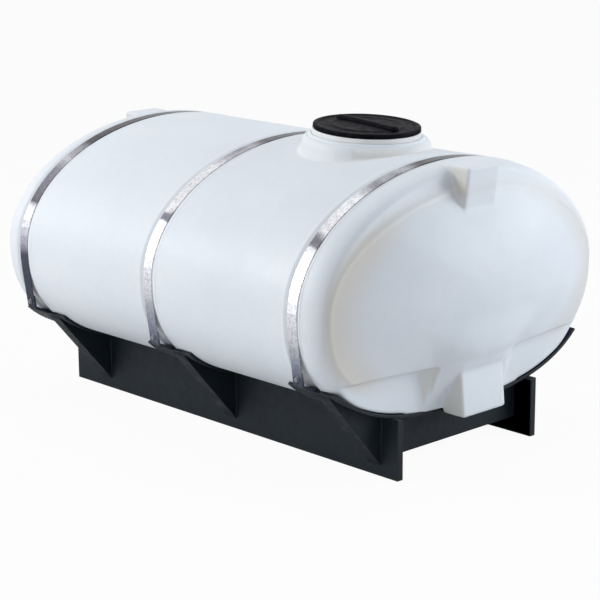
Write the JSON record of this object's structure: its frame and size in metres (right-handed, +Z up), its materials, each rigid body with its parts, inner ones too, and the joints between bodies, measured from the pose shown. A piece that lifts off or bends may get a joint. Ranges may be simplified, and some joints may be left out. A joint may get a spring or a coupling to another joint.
{
  "type": "elliptical storage tank",
  "caption": "Low oval translucent liquid storage tank with dished ends and a lidded manway, held by steel bands on a welded skid.",
  "frame": {"origin": "on the floor, midway between the rails and under the middle band", "axes": "+Z up, +X along the tank towards the manway end, +Y to the left when facing +X"},
  "size_m": [2.3092, 1.625, 1.3091],
  "materials": {
    "tank_plastic": "semi-gloss translucent white moulded plastic, slightly blue, creamier in its recesses",
    "rim_plastic": "opaque white moulded plastic",
    "lid_plastic": "satin black moulded plastic with light scuffs",
    "band_steel": "spangled galvanised strip, part bright and part dull",
    "bolt_steel": "dull zinc plate",
    "skid_paint": "satin black paint over plate with light dust and edge wear"
  },
  "bodies": {
    "root": {"tank_barrel": "tank_plastic", "front_head": "tank_plastic", "rear_head": "tank_plastic", "manway_collar": "tank_plastic", "manway_rim": "rim_plastic", "manway_lid": "lid_plastic", "rear_band": "band_steel", "middle_band": "band_steel", "front_band": "band_steel", "rear_left_band_bolt": "bolt_steel", "rear_right_band_bolt": "bolt_steel", "middle_left_band_bolt": "bolt_steel", "middle_right_band_bolt": "bolt_steel", "front_left_band_bolt": "bolt_steel", "front_right_band_bolt": "bolt_steel", "rear_left_band_clip": "band_steel", "rear_right_band_clip": "band_steel", "middle_left_band_clip": "band_steel", "middle_right_band_clip": "band_steel", "front_left_band_clip": "band_steel", "front_right_band_clip": "band_steel", "rear_saddle": "skid_paint", "middle_saddle": "skid_paint", "front_saddle": "skid_paint", "rear_cross_frame": "skid_paint", "middle_cross_frame": "skid_paint", "front_cross_frame": "skid_paint", "rear_left_outrigger": "skid_paint", "rear_right_outrigger": "skid_paint", "middle_left_outrigger": "skid_paint", "middle_right_outrigger": "skid_paint", "front_left_outrigger": "skid_paint", "front_right_outrigger": "skid_paint", "left_rail": "skid_paint", "right_rail": "skid_paint"}
  },
  "joints": []
}
